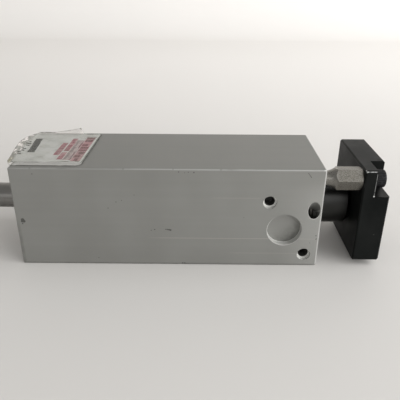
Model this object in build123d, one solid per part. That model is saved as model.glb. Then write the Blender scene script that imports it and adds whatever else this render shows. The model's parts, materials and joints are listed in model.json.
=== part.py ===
from build123d import *
import os
from math import cos, degrees, radians, sin, sqrt

# Guided double-rod pneumatic thruster: a square aluminium block bored for a piston, a thick rod
# that carries a black tool plate, a thin tail rod on the other side, and a hexagonal-headed pin
# that keeps the plate from turning.
#
# Units are millimetres. The origin is the centre of the block's bottom face. +X is the direction
# in which the plate extends, -Y is the side with the recess and the tapped holes, +Z is up.
# The model is drawn fully retracted.

# ---- driving dimensions -------------------------------------------------------------------
BLOCK_LENGTH = 144.4
BLOCK_WIDTH = 50.8
BLOCK_EDGE_R = 0.7          # rounding of the four long edges
BLOCK_END_BEVEL = 0.5       # bevel around the two end faces
BORE_D = 38.1
STROKE = 76.2
AXIS_Z = BLOCK_WIDTH / 2    # height of the cylinder axis
HALF_LENGTH = BLOCK_LENGTH / 2
FRONT_Y = -BLOCK_WIDTH / 2
BACK_Y = BLOCK_WIDTH / 2

FRONT_ROD_D = 25.4
TAIL_ROD_D = 12.7
TAIL_ROD_EXPOSED = 88.0     # length outside the block when retracted
TAIL_ROD_CHAMFER = 1.0
ROD_END_CHAMFER = 2.0
ROD_INNER_CHAMFER = 0.5
CENTRE_DRILL_R = 1.6        # centre drilling in the tail rod's free end
CENTRE_PILOT_R = 0.8
CENTRE_CONE_DEPTH = 1.2
CENTRE_PILOT_DEPTH = 3.0
THREAD_SPARE = 2.0          # tapped depth beyond a screw's or a stud's end

PLATE_GAP = 17.6            # block end face to plate, retracted
PLATE_THICKNESS = 12.8
PLATE_FRONT_Y = -24.9
PLATE_WIDTH = 46.5
PLATE_BOTTOM_Z = 2.7
PLATE_HEIGHT = 47.4
PLATE_CORNER_R = 1.6
PLATE_BEVEL = 0.6

PIN_Y = FRONT_Y + 6.35      # guide pin axis, near the top front corner
PIN_Z = BLOCK_WIDTH - 6.5
PIN_D = 7.0
PIN_HEX_AF = 9.8
PIN_HEX_LENGTH = 11.5
PIN_HEX_TILT = 5.5          # the corner on the -Y side points this much above the horizontal
PIN_HEX_EDGE = 0.6
PIN_FLARE_START = 0.6       # clear of the block's end face
PIN_TIP_CHAMFER = 0.8
PIN_ENGAGED = 101.0         # pin length inside the block, retracted

# ---- fits ---------------------------------------------------------------------------------
SLIDE_GAP = 0.03            # radial gap of a running fit
LIP_GAP = 0.03              # radial gap under a seal lip
SEAT_GAP = 0.02             # radial gap of parts seated in the block
SCREW_GAP = 0.25            # radial gap around a screw in its clearance hole
CUT = 1.0                   # how far a cutter runs past the face it enters

# ---- glands -------------------------------------------------------------------------------
GLAND_RECESS = 0.5          # gland face below the block's end face
FRONT_GLAND_LENGTH = 21.5
REAR_GLAND_LENGTH = 18.5
GLAND_NOSE_LENGTH = 9.0     # reduced inner end, which leaves an air space at the port
GLAND_R = BORE_D / 2 - SEAT_GAP
FRONT_NOSE_R = 17.0
REAR_NOSE_R = 15.0
GLAND_CHAMFER = 0.6
WIRE_D = 2.4                # round wire that locks a gland in the bore
WIRE_GROOVE_WIDTH = 2.5
WIRE_GROOVE_DEPTH = 1.25    # in the gland and in the block alike
WIRE_FROM_END = 3.8
WIRE_START = 225.0          # the ring's ends lie at the slanting hole
WIRE_TURN = 338.0
ORING_GROOVE_WIDTH = 2.8
ORING_GROOVE_DEPTH = 2.2
ORING_FROM_WIRE = 3.3       # wire groove centre to O-ring groove centre
SPANNER_HOLE_D = 3.0
SPANNER_HOLE_DEPTH = 3.0

BUSHING_INSET = 0.5
FRONT_BUSHING_LENGTH = 12.0
FRONT_BUSHING_WALL = 1.5
REAR_BUSHING_LENGTH = 10.0
REAR_BUSHING_WALL = 1.5
ROD_PASSAGE_GAP = 0.2
SEAL_WIDTH = 2.8
SEAL_HEIGHT = 2.9
SEAL_SLACK = 0.1            # axial gap on each side of a seal in its groove
SEAL_HEEL = 1.2             # solid part of a U-cup
CUP_FLOOR_HALF = 0.3        # half the width of a U-cup's hollow at its floor
WIPER_SEAT = 2.8
WIPER_HEIGHT = 2.6
WIPER_LIP = 0.5             # lip standing out of the gland face
WIPER_LIP_THICKNESS = 0.4
WIPER_UNDERCUT = 0.5        # the wiper's seat stands this much clear of the rod
WIPER_NECK = 0.6            # below the gland face
WIPER_CONE = 1.3            # width of the lip's foot
SEAL_FROM_WIPER = 1.4       # wall between the wiper's seat and the seal's groove

BUMPER_THICKNESS = 2.4
BUMPER_GAP = 0.1
BUMPER_R = 18.0
BUMPER_ROD_GAP = 0.5

# ---- piston -------------------------------------------------------------------------------
PISTON_R = 18.9
PISTON_CHAMFER = 0.6
PISTON_STUD_D = 10.0
PISTON_REAR_SEAT = 3.0
STUD_IN_ROD = 16.0
SEAL_GROOVE_WIDTH = 3.2
SEAL_GROOVE_DEPTH = 3.0
SEAL_FROM_FACE = 4.1
WEAR_RING_WIDTH = 6.0
WEAR_RING_THICKNESS = 1.6
WEAR_RING_GAP = 0.05        # radial gap to the bore
STATIC_RING_R = 8.0
STATIC_RING_D = 1.8

# ---- plate fastening ----------------------------------------------------------------------
SPIGOT_D = 16.0
SPIGOT_LENGTH = 2.5
PLATE_SCREW_D = 8.0
PLATE_SCREW_HEAD_D = 13.0
PLATE_SCREW_HEAD_H = 5.0
PLATE_COUNTERBORE = 6.0
PLATE_SCREW_GRIP = 24.0     # tapped depth in the front rod
PLATE_SCREW_SPARE = 3.0
PLATE_SCREW_KEY_AF = 5.0
PIN_SCREW_D = 5.0
PIN_SCREW_HEAD_D = 8.6
PIN_SCREW_HEAD_H = 5.0
PIN_SCREW_LENGTH = 16.0
PIN_SCREW_KEY_AF = 4.0
KEY_DEPTH = 2.6
SCREW_TIP_CHAMFER = 0.6
SCREW_HEAD_CHAMFER = 0.4
NOTCH_FLOOR_FROM_BLOCK = 23.4
NOTCH_INNER_Y = -11.7
NOTCH_BOTTOM_Z = 37.4
NOTCH_CORNER_R = 2.4
TOOL_HOLE_D = 4.2
TOOL_HOLE_DEPTH = 9.0
TOOL_HOLE_SPACING = 20.0

# ---- block features -----------------------------------------------------------------------
RECESS_D = 16.5
RECESS_DEPTH = 3.0
RECESS_FROM_END = 17.0
RECESS_Z = 19.9
SIDE_HOLE_D = 5.0
SIDE_SPOT_D = 6.5
SIDE_SPOT_DEPTH = 2.0
UPPER_HOLE_FROM_END = 24.7
UPPER_HOLE_Z = 34.3
UPPER_HOLE_DEPTH = 7.0
LOWER_HOLE_FROM_END = 6.6
LOWER_HOLE_Z = 6.45
LOWER_HOLE_DEPTH = 12.0
WIRE_HOLE_D = 5.8           # slanting hole through which the lock wire is reached
WIRE_HOLE_Z = 30.4
WIRE_HOLE_ANGLE = 49.0      # below the horizontal
WIRE_HOLE_LENGTH = 20.0
WIRE_HOLE_LEAD_IN = 6.0     # cutter length outside the face
PORT_D = 8.6
PORT_DEPTH = 11.0
FRONT_PORT_X = 54.4
REAR_PORT_X = -57.8
BASE_HOLE_D = 5.0
BASE_HOLE_DEPTH = 11.0
BASE_SPACING_X = 100.0
BASE_SPACING_Y = 32.0
PIN_BUSHING_D = 9.5
PIN_BUSHING_LENGTH = 12.0
PIN_BUSHING_GAP = 8.0
PIN_HOLE_D = 7.6
PIN_HOLE_SPARE = 11.0

# ---- label --------------------------------------------------------------------------------
LABEL_X0 = -HALF_LENGTH             # the label starts at the block's rear end
LABEL_LENGTH = 31.4                 # along X, on the block
LABEL_Y0 = FRONT_Y + 6.3
LABEL_WIDTH = 43.0
LABEL_THICKNESS = 0.12
LABEL_CORNER_R = 2.0
LABEL_OVERHANG = 4.5                # strip curled up past the block's end
LABEL_CURL_R = 9.0
FILM_LENGTH = 32.8                  # clear film over the label, along X
FILM_Y0 = FRONT_Y + 3.2
FILM_WIDTH = 47.0
FILM_THICKNESS = 0.08
FILM_CORNER_R = 3.0
FLAP_WIDTH = 23.6                   # part of the film's back edge that has lifted
FLAP_START_Y = 21.4
FLAP_CURL_R = 6.0
FLAP_FOOT = 0.5                     # flat strip that joins the flap to the film
FLAP_TURN = 65.0
FILM_GAP = 0.02                     # between label and film
TRIM_HEIGHT = 12.0                  # height of the shape that trims a sheet's outline

# ---- stations along X ---------------------------------------------------------------------
FRONT_GLAND_FACE = HALF_LENGTH - GLAND_RECESS
FRONT_GLAND_INNER = FRONT_GLAND_FACE - FRONT_GLAND_LENGTH
REAR_GLAND_FACE = -HALF_LENGTH + GLAND_RECESS
REAR_GLAND_INNER = REAR_GLAND_FACE + REAR_GLAND_LENGTH
FRONT_WIRE_X = HALF_LENGTH - WIRE_FROM_END
REAR_WIRE_X = -FRONT_WIRE_X
PISTON_REAR = REAR_GLAND_INNER + BUMPER_THICKNESS + BUMPER_GAP
PISTON_FRONT = FRONT_GLAND_INNER - BUMPER_THICKNESS - BUMPER_GAP - STROKE
PLATE_INNER = HALF_LENGTH + PLATE_GAP
PLATE_OUTER = PLATE_INNER + PLATE_THICKNESS
NOTCH_FLOOR = HALF_LENGTH + NOTCH_FLOOR_FROM_BLOCK
PIN_BUSHING_SEAT = 2 * PIN_BUSHING_LENGTH + PIN_BUSHING_GAP + GLAND_RECESS


# ---- shared shapes ------------------------------------------------------------------------
def bar(radius, x0, x1, y=0.0, z=AXIS_Z):
    """Round bar along X from x0 to x1."""
    ends = (Align.CENTER, Align.CENTER, Align.MIN)
    return Pos(x0, y, z) * Rot(0, 90, 0) * Cylinder(radius, x1 - x0, align=ends)


def ring(inner, outer, x0, x1, y=0.0, z=AXIS_Z):
    """Plain sleeve along X."""
    return bar(outer, x0, x1, y, z) - bar(inner, x0 - CUT, x1 + CUT, y, z)


def turned(*profile, y=0.0, z=AXIS_Z):
    """Solid turned about a line along X; the profile's points are (x, radius)."""
    outline = make_face(Polyline(*profile, close=True))
    return Pos(0, y, z) * revolve(outline, Axis.X)


def torus_x(centre_r, wire_r, x):
    """Closed round ring about the cylinder axis."""
    return Pos(0, 0, AXIS_Z) * revolve(Pos(x, centre_r) * Circle(wire_r), Axis.X)


def side_hole(diameter, depth, x, z):
    """Blind hole from the -Y side face."""
    drill = Cylinder(diameter / 2, depth + CUT, align=(Align.CENTER, Align.CENTER, Align.MIN))
    return Pos(x, FRONT_Y - CUT, z) * Rot(-90, 0, 0) * drill


def hexagon_socket(across_flats, depth, x_face, y, z):
    """Hexagonal key socket cut from a face that looks along +X."""
    key = extrude(RegularPolygon(across_flats / sqrt(3), 6), depth + CUT)
    return Pos(x_face - depth, y, z) * Rot(0, 90, 0) * key


# ---- block --------------------------------------------------------------------------------
def block_body():
    """Outer block with rounded long edges, bevelled ends and the through bore."""
    body = Pos(0, 0, AXIS_Z) * Box(BLOCK_LENGTH, BLOCK_WIDTH, BLOCK_WIDTH)
    body = fillet(body.edges().filter_by(Axis.X), BLOCK_EDGE_R)
    end_edges = body.faces().filter_by(Axis.X).edges()
    body = chamfer(end_edges, BLOCK_END_BEVEL)
    return body - bar(BORE_D / 2, -HALF_LENGTH - CUT, HALF_LENGTH + CUT)


def block_side_cuts():
    """Recess, spot-faced tapped holes and the slanting lock-wire hole."""
    upper_x = HALF_LENGTH - UPPER_HOLE_FROM_END
    lower_x = HALF_LENGTH - LOWER_HOLE_FROM_END
    cuts = [
        side_hole(RECESS_D, RECESS_DEPTH, HALF_LENGTH - RECESS_FROM_END, RECESS_Z),
        side_hole(SIDE_SPOT_D, SIDE_SPOT_DEPTH, upper_x, UPPER_HOLE_Z),
        side_hole(SIDE_HOLE_D, UPPER_HOLE_DEPTH, upper_x, UPPER_HOLE_Z),
        side_hole(SIDE_SPOT_D, SIDE_SPOT_DEPTH, lower_x, LOWER_HOLE_Z),
        side_hole(SIDE_HOLE_D, LOWER_HOLE_DEPTH, lower_x, LOWER_HOLE_Z),
    ]
    length = WIRE_HOLE_LENGTH + WIRE_HOLE_LEAD_IN
    drill = Cylinder(WIRE_HOLE_D / 2, length, align=(Align.CENTER, Align.CENTER, Align.MIN))
    slope = radians(WIRE_HOLE_ANGLE)
    start_y = FRONT_Y - WIRE_HOLE_LEAD_IN * cos(slope)
    start_z = WIRE_HOLE_Z + WIRE_HOLE_LEAD_IN * sin(slope)
    tilt = Rot(-90 - WIRE_HOLE_ANGLE, 0, 0)
    cuts.append(Pos(FRONT_WIRE_X, start_y, start_z) * tilt * drill)
    return cuts


def block_port_cuts():
    """Two air ports from the back face into the spaces around the gland noses."""
    cuts = []
    for x in (FRONT_PORT_X, REAR_PORT_X):
        drill = Cylinder(PORT_D / 2, PORT_DEPTH + CUT, align=(Align.CENTER, Align.CENTER, Align.MIN))
        cuts.append(Pos(x, BACK_Y + CUT, AXIS_Z) * Rot(90, 0, 0) * drill)
    return cuts


def block_base_cuts():
    """Four tapped holes in the bottom face."""
    cuts = []
    for x in (-BASE_SPACING_X / 2, BASE_SPACING_X / 2):
        for y in (-BASE_SPACING_Y / 2, BASE_SPACING_Y / 2):
            drill = Cylinder(
                BASE_HOLE_D / 2, BASE_HOLE_DEPTH + CUT, align=(Align.CENTER, Align.CENTER, Align.MIN)
            )
            cuts.append(Pos(x, y, -CUT) * drill)
    return cuts


def body_block():
    body = block_body()
    for x in (FRONT_WIRE_X, REAR_WIRE_X):
        body -= bar(BORE_D / 2 + WIRE_GROOVE_DEPTH, x - WIRE_GROOVE_WIDTH / 2, x + WIRE_GROOVE_WIDTH / 2)
    body -= bar(PIN_BUSHING_D / 2, HALF_LENGTH - PIN_BUSHING_SEAT, HALF_LENGTH + CUT, PIN_Y, PIN_Z)
    pin_hole_end = HALF_LENGTH - PIN_ENGAGED - PIN_HOLE_SPARE
    body -= bar(PIN_HOLE_D / 2, pin_hole_end, HALF_LENGTH, PIN_Y, PIN_Z)
    for cut in block_side_cuts() + block_port_cuts() + block_base_cuts():
        body -= cut
    return body


# ---- glands and what they hold ------------------------------------------------------------
def gland(face_x, inner_x, rod_d, bushing_r, bushing_length, nose_r):
    """Cartridge that closes one end of the bore; it may face either way along X."""
    out = 1 if face_x > inner_x else -1
    passage_r = rod_d / 2 + ROD_PASSAGE_GAP
    seal_r = rod_d / 2 + SEAL_HEIGHT
    wiper_r = rod_d / 2 + WIPER_HEIGHT
    seat_end = inner_x + out * (BUSHING_INSET + bushing_length)
    wiper_x = face_x - out * WIPER_SEAT
    seal_x1 = wiper_x - out * SEAL_FROM_WIPER
    seal_x0 = seal_x1 - out * (SEAL_WIDTH + 2 * SEAL_SLACK)
    shoulder_x = inner_x + out * GLAND_NOSE_LENGTH
    c = GLAND_CHAMFER
    body = turned(
        (inner_x, bushing_r),
        (seat_end, bushing_r),
        (seat_end, passage_r),
        (seal_x0, passage_r),
        (seal_x0, seal_r),
        (seal_x1, seal_r),
        (seal_x1, passage_r),
        (wiper_x, passage_r),
        (wiper_x, wiper_r),
        (face_x, wiper_r),
        (face_x, GLAND_R - c),
        (face_x - out * c, GLAND_R),
        (shoulder_x, GLAND_R),
        (shoulder_x, nose_r),
        (inner_x + out * c, nose_r),
        (inner_x, nose_r - c),
    )
    wire_x = face_x + out * (GLAND_RECESS - WIRE_FROM_END)
    half = WIRE_GROOVE_WIDTH / 2
    body -= ring(BORE_D / 2 - WIRE_GROOVE_DEPTH, GLAND_R + CUT, wire_x - half, wire_x + half)
    groove_x = wire_x - out * ORING_FROM_WIRE
    half = ORING_GROOVE_WIDTH / 2
    body -= ring(GLAND_R - ORING_GROOVE_DEPTH, GLAND_R + CUT, groove_x - half, groove_x + half)
    spanner_r = (wiper_r + GLAND_R) / 2
    for side in (-1, 1):
        x0 = min(face_x, face_x - out * SPANNER_HOLE_DEPTH)
        x1 = max(face_x, face_x - out * SPANNER_HOLE_DEPTH)
        body -= bar(SPANNER_HOLE_D / 2, x0, x1, side * spanner_r, AXIS_Z)
    return body


def front_gland():
    bushing_r = FRONT_ROD_D / 2 + FRONT_BUSHING_WALL
    return gland(
        FRONT_GLAND_FACE, FRONT_GLAND_INNER, FRONT_ROD_D, bushing_r, FRONT_BUSHING_LENGTH, FRONT_NOSE_R
    )


def rear_gland():
    bushing_r = TAIL_ROD_D / 2 + REAR_BUSHING_WALL
    return gland(
        REAR_GLAND_FACE, REAR_GLAND_INNER, TAIL_ROD_D, bushing_r, REAR_BUSHING_LENGTH, REAR_NOSE_R
    )


def front_rod_bushing():
    x0 = FRONT_GLAND_INNER + BUSHING_INSET
    outer = FRONT_ROD_D / 2 + FRONT_BUSHING_WALL
    return ring(FRONT_ROD_D / 2 + SLIDE_GAP, outer, x0, x0 + FRONT_BUSHING_LENGTH)


def rear_rod_bushing():
    x1 = REAR_GLAND_INNER - BUSHING_INSET
    outer = TAIL_ROD_D / 2 + REAR_BUSHING_WALL
    return ring(TAIL_ROD_D / 2 + SLIDE_GAP, outer, x1 - REAR_BUSHING_LENGTH, x1)


def cup_seal(rod_d, face_x, out):
    """U-cup rod seal, its hollow towards the pressure side."""
    r_in = rod_d / 2 + LIP_GAP
    r_out = rod_d / 2 + SEAL_HEIGHT
    r_mid = (r_in + r_out) / 2
    back = face_x - out * (WIPER_SEAT + SEAL_FROM_WIPER + SEAL_SLACK)
    lips = back - out * SEAL_WIDTH
    floor = back - out * SEAL_HEEL
    return turned(
        (back, r_in),
        (lips, r_in),
        (floor, r_mid - CUP_FLOOR_HALF),
        (floor, r_mid + CUP_FLOOR_HALF),
        (lips, r_out),
        (back, r_out),
    )


def wiper(rod_d, face_x, out):
    """Scraper ring with a lip that stands out of the gland face around the rod."""
    r_in = rod_d / 2 + LIP_GAP
    r_out = rod_d / 2 + WIPER_HEIGHT
    seat = face_x - out * WIPER_SEAT
    lip = face_x + out * WIPER_LIP
    return turned(
        (seat, r_in + WIPER_UNDERCUT),
        (face_x - out * WIPER_NECK, r_in + WIPER_LIP_THICKNESS),
        (lip, r_in),
        (lip, r_in + WIPER_LIP_THICKNESS),
        (face_x, r_in + WIPER_CONE),
        (face_x, r_out),
        (seat, r_out),
    )


def gland_o_ring(face_x, out):
    wire_x = face_x + out * (GLAND_RECESS - WIRE_FROM_END)
    section_r = (ORING_GROOVE_DEPTH - SEAT_GAP) / 2
    centre_r = GLAND_R - ORING_GROOVE_DEPTH + section_r + SEAT_GAP / 2
    return torus_x(centre_r, section_r, wire_x - out * ORING_FROM_WIRE)


def retaining_wire(x):
    """Open ring of round wire, half in the gland's groove and half in the block's."""
    section = Pos(x, BORE_D / 2) * Circle(WIRE_D / 2)
    return Pos(0, 0, AXIS_Z) * Rot(WIRE_START, 0, 0) * revolve(section, Axis.X, WIRE_TURN)


def bumper(x0, rod_d):
    return ring(rod_d / 2 + BUMPER_ROD_GAP, BUMPER_R, x0, x0 + BUMPER_THICKNESS)


def guide_pin_bushings():
    """Two plain sleeves on one line, pressed in from the front end face."""
    first = HALF_LENGTH - GLAND_RECESS - PIN_BUSHING_LENGTH
    pitch = PIN_BUSHING_LENGTH + PIN_BUSHING_GAP
    inner = PIN_D / 2 + SLIDE_GAP
    return [
        ring(inner, PIN_BUSHING_D / 2, x0, x0 + PIN_BUSHING_LENGTH, PIN_Y, PIN_Z)
        for x0 in (first, first - pitch)
    ]


# ---- moving parts -------------------------------------------------------------------------
def front_rod():
    """Thick rod between piston and plate, with a locating spigot and a tapped hole at each end."""
    r = FRONT_ROD_D / 2
    c = ROD_END_CHAMFER
    tip = PLATE_INNER + SPIGOT_LENGTH
    stud_hole = PISTON_FRONT + STUD_IN_ROD + THREAD_SPARE
    e = ROD_INNER_CHAMFER
    screw_hole = tip - PLATE_SCREW_GRIP
    return turned(
        (PISTON_FRONT, PISTON_STUD_D / 2),
        (PISTON_FRONT, r - e),
        (PISTON_FRONT + e, r),
        (PLATE_INNER - c, r),
        (PLATE_INNER, r - c),
        (PLATE_INNER, SPIGOT_D / 2),
        (tip, SPIGOT_D / 2),
        (tip, PLATE_SCREW_D / 2),
        (screw_hole, PLATE_SCREW_D / 2),
        (screw_hole, 0),
        (stud_hole, 0),
        (stud_hole, PISTON_STUD_D / 2),
    )


def tail_rod():
    """Thin rod; its stud passes through the piston and screws into the front rod."""
    r = TAIL_ROD_D / 2
    free_end = -HALF_LENGTH - TAIL_ROD_EXPOSED
    shoulder = PISTON_REAR + PISTON_REAR_SEAT
    stud_end = PISTON_FRONT + STUD_IN_ROD
    c = TAIL_ROD_CHAMFER
    body = turned(
        (free_end, 0),
        (free_end, r - c),
        (free_end + c, r),
        (shoulder, r),
        (shoulder, PISTON_STUD_D / 2),
        (stud_end - c, PISTON_STUD_D / 2),
        (stud_end, PISTON_STUD_D / 2 - c),
        (stud_end, 0),
    )
    centre_drill = turned(
        (free_end, 0),
        (free_end, CENTRE_DRILL_R),
        (free_end + CENTRE_CONE_DEPTH, CENTRE_PILOT_R),
        (free_end + CENTRE_PILOT_DEPTH, 0),
    )
    return body - centre_drill


def piston():
    r = PISTON_R
    c = PISTON_CHAMFER
    body = turned(
        (PISTON_REAR, TAIL_ROD_D / 2),
        (PISTON_REAR, r - c),
        (PISTON_REAR + c, r),
        (PISTON_FRONT - c, r),
        (PISTON_FRONT, r - c),
        (PISTON_FRONT, PISTON_STUD_D / 2),
        (PISTON_REAR + PISTON_REAR_SEAT, PISTON_STUD_D / 2),
        (PISTON_REAR + PISTON_REAR_SEAT, TAIL_ROD_D / 2),
    )
    half = SEAL_GROOVE_WIDTH / 2
    for x in (PISTON_REAR + SEAL_FROM_FACE, PISTON_FRONT - SEAL_FROM_FACE):
        body -= ring(r - SEAL_GROOVE_DEPTH, r + CUT, x - half, x + half)
    middle = (PISTON_REAR + PISTON_FRONT) / 2
    half = WEAR_RING_WIDTH / 2
    body -= ring(r - WEAR_RING_THICKNESS, r + CUT, middle - half, middle + half)
    half = STATIC_RING_D / 2
    groove_x = PISTON_FRONT - STATIC_RING_D
    body -= ring(STATIC_RING_R - half, STATIC_RING_R + half, groove_x, PISTON_FRONT + CUT)
    return body


def piston_seals():
    """Two U-cups whose hollows face the two pressure chambers."""
    base_r = PISTON_R - SEAL_GROOVE_DEPTH
    tip_r = BORE_D / 2 - LIP_GAP
    mid_r = (base_r + tip_r) / 2
    half = SEAL_GROOVE_WIDTH / 2 - SEAL_SLACK
    seals = []
    for x, out in ((PISTON_REAR + SEAL_FROM_FACE, -1), (PISTON_FRONT - SEAL_FROM_FACE, 1)):
        back = x - out * half
        lips = x + out * half
        floor = back + out * SEAL_HEEL
        seals.append(
            turned(
                (back, base_r),
                (lips, base_r),
                (floor, mid_r - CUP_FLOOR_HALF),
                (floor, mid_r + CUP_FLOOR_HALF),
                (lips, tip_r),
                (back, tip_r - CUP_FLOOR_HALF),
            )
        )
    return seals


def piston_wear_ring():
    middle = (PISTON_REAR + PISTON_FRONT) / 2
    half = WEAR_RING_WIDTH / 2 - SEAL_SLACK
    outer = BORE_D / 2 - WEAR_RING_GAP
    return ring(PISTON_R - WEAR_RING_THICKNESS, outer, middle - half, middle + half)


def piston_static_ring():
    section_r = STATIC_RING_D / 2 - SEAT_GAP
    return torus_x(STATIC_RING_R, section_r, PISTON_FRONT - STATIC_RING_D / 2)


def tool_plate():
    """Plate with a milled corner notch for the guide pin's screw, and tapped tool holes."""
    size = (PLATE_THICKNESS, PLATE_WIDTH, PLATE_HEIGHT)
    centre_y = PLATE_FRONT_Y + PLATE_WIDTH / 2
    centre_z = PLATE_BOTTOM_Z + PLATE_HEIGHT / 2
    body = Pos((PLATE_INNER + PLATE_OUTER) / 2, centre_y, centre_z) * Box(*size)
    body = fillet(body.edges().filter_by(Axis.X), PLATE_CORNER_R)
    body = chamfer(body.faces().filter_by(Axis.X).edges(), PLATE_BEVEL)
    body -= plate_notch()
    out = PLATE_OUTER + CUT
    body -= bar(SPIGOT_D / 2 + SEAT_GAP, PLATE_INNER - CUT, PLATE_INNER + SPIGOT_LENGTH)
    body -= bar(PLATE_SCREW_D / 2 + SCREW_GAP, PLATE_INNER, out)
    body -= bar(PLATE_SCREW_HEAD_D / 2 + SCREW_GAP, PLATE_OUTER - PLATE_COUNTERBORE, out)
    body -= bar(PIN_SCREW_D / 2 + SCREW_GAP, PLATE_INNER - CUT, PLATE_OUTER, PIN_Y, PIN_Z)
    half = TOOL_HOLE_SPACING / 2
    for y in (-half, half):
        for z in (AXIS_Z - half, AXIS_Z + half):
            body -= bar(TOOL_HOLE_D / 2, PLATE_OUTER - TOOL_HOLE_DEPTH, out, y, z)
    return body


def plate_notch():
    """Cutter for the notch: open to the outer, front and top faces, round in its inner corner."""
    width = NOTCH_INNER_Y - PLATE_FRONT_Y + CUT
    height = PLATE_BOTTOM_Z + PLATE_HEIGHT - NOTCH_BOTTOM_Z + CUT
    depth = PLATE_OUTER - NOTCH_FLOOR + CUT
    corner = (Align.MIN, Align.MAX, Align.MIN)
    cutter = Pos(NOTCH_FLOOR, NOTCH_INNER_Y, NOTCH_BOTTOM_Z) * Box(depth, width, height, align=corner)
    inner_edge = cutter.edges().filter_by(Axis.X).sort_by(Axis.Y)[-2:].sort_by(Axis.Z)[0]
    return fillet(inner_edge, NOTCH_CORNER_R)


def cap_screw(x_seat, y, z, thread_d, length, head_d, head_h, key_af):
    """Socket head cap screw that points along -X; x_seat is the plane under its head."""
    r = thread_d / 2
    head_r = head_d / 2
    top = x_seat + head_h
    body = turned(
        (x_seat - length, 0),
        (x_seat - length, r - SCREW_TIP_CHAMFER),
        (x_seat - length + SCREW_TIP_CHAMFER, r),
        (x_seat, r),
        (x_seat, head_r),
        (top - SCREW_HEAD_CHAMFER, head_r),
        (top, head_r - SCREW_HEAD_CHAMFER),
        (top, 0),
        y=y,
        z=z,
    )
    return body - hexagon_socket(key_af, KEY_DEPTH, top, y, z)


def plate_screw():
    x_seat = PLATE_OUTER - PLATE_COUNTERBORE
    length = x_seat - (PLATE_INNER + SPIGOT_LENGTH - PLATE_SCREW_GRIP) - PLATE_SCREW_SPARE
    return cap_screw(
        x_seat,
        0,
        AXIS_Z,
        PLATE_SCREW_D,
        length,
        PLATE_SCREW_HEAD_D,
        PLATE_SCREW_HEAD_H,
        PLATE_SCREW_KEY_AF,
    )


def guide_pin_screw():
    return cap_screw(
        NOTCH_FLOOR,
        PIN_Y,
        PIN_Z,
        PIN_SCREW_D,
        PIN_SCREW_LENGTH,
        PIN_SCREW_HEAD_D,
        PIN_SCREW_HEAD_H,
        PIN_SCREW_KEY_AF,
    )


def guide_pin():
    """Round pin that flares to a hexagonal head; the head bears on the plate's inner face."""
    r = PIN_D / 2
    corner_r = PIN_HEX_AF / sqrt(3)
    hex_start = PLATE_INNER - PIN_HEX_LENGTH
    flare_start = HALF_LENGTH + PIN_FLARE_START
    tip = HALF_LENGTH - PIN_ENGAGED
    outline = [
        Polyline(
            (hex_start, corner_r),
            (PLATE_INNER - PIN_HEX_EDGE, corner_r),
            (PLATE_INNER, PIN_HEX_AF / 2),
            (PLATE_INNER, 0),
            (tip, 0),
            (tip, r - PIN_TIP_CHAMFER),
            (tip + PIN_TIP_CHAMFER, r),
            (flare_start, r),
        ),
        TangentArc((flare_start, r), (hex_start, corner_r), tangent=(1, 0)),
    ]
    turned_pin = Pos(0, PIN_Y, PIN_Z) * revolve(make_face(outline), Axis.X)
    prism = extrude(RegularPolygon(corner_r, 6), PLATE_INNER - tip + 2 * CUT)
    level = Rot(-PIN_HEX_TILT, 0, 0) * Rot(0, 90, 0) * Rot(0, 0, 90)
    body = turned_pin & (Pos(tip - CUT, PIN_Y, PIN_Z) * level * prism)
    screw_end = NOTCH_FLOOR - PIN_SCREW_LENGTH
    return body - bar(PIN_SCREW_D / 2, screw_end - THREAD_SPARE, PLATE_INNER + CUT, PIN_Y, PIN_Z)


# ---- label --------------------------------------------------------------------------------
def curled_sheet(start, length, thickness, curl_r, turn):
    """Section in the XY plane: a level strip that curls up to the left of the start point."""
    x, y = start
    centre = (x, y + curl_r)
    inner = curl_r - thickness
    swing = radians(turn)
    outer_tip = (x - curl_r * sin(swing), y + curl_r - curl_r * cos(swing))
    inner_tip = (x - inner * sin(swing), y + curl_r - inner * cos(swing))
    return make_face(
        [
            Polyline((x, y), (x + length, y), (x + length, y + thickness), (x, y + thickness)),
            CenterArc(centre, inner, -90, -turn),
            Line(inner_tip, outer_tip),
            CenterArc(centre, curl_r, -90, -turn),
        ]
    )


def plan_prism(x0, y0, length, width, corner_r):
    """Tall prism over the top face with a rounded rectangular plan."""
    plan = RectangleRounded(length, width, corner_r)
    return Pos(x0 + length / 2, y0 + width / 2, BLOCK_WIDTH - CUT) * extrude(plan, TRIM_HEIGHT)


def label():
    """Printed label on the top face, its end strip curled up past the block's rear end."""
    turn = degrees(LABEL_OVERHANG / LABEL_CURL_R)
    section = curled_sheet((LABEL_X0, BLOCK_WIDTH), LABEL_LENGTH, LABEL_THICKNESS, LABEL_CURL_R, turn)
    sheet = extrude(Rot(90, 0, 0) * section, LABEL_WIDTH, dir=(0, 1, 0))
    sheet = Pos(0, LABEL_Y0, 0) * sheet
    outline = plan_prism(
        LABEL_X0 - LABEL_OVERHANG, LABEL_Y0, LABEL_LENGTH + LABEL_OVERHANG, LABEL_WIDTH, LABEL_CORNER_R
    )
    return sheet & outline


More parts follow.
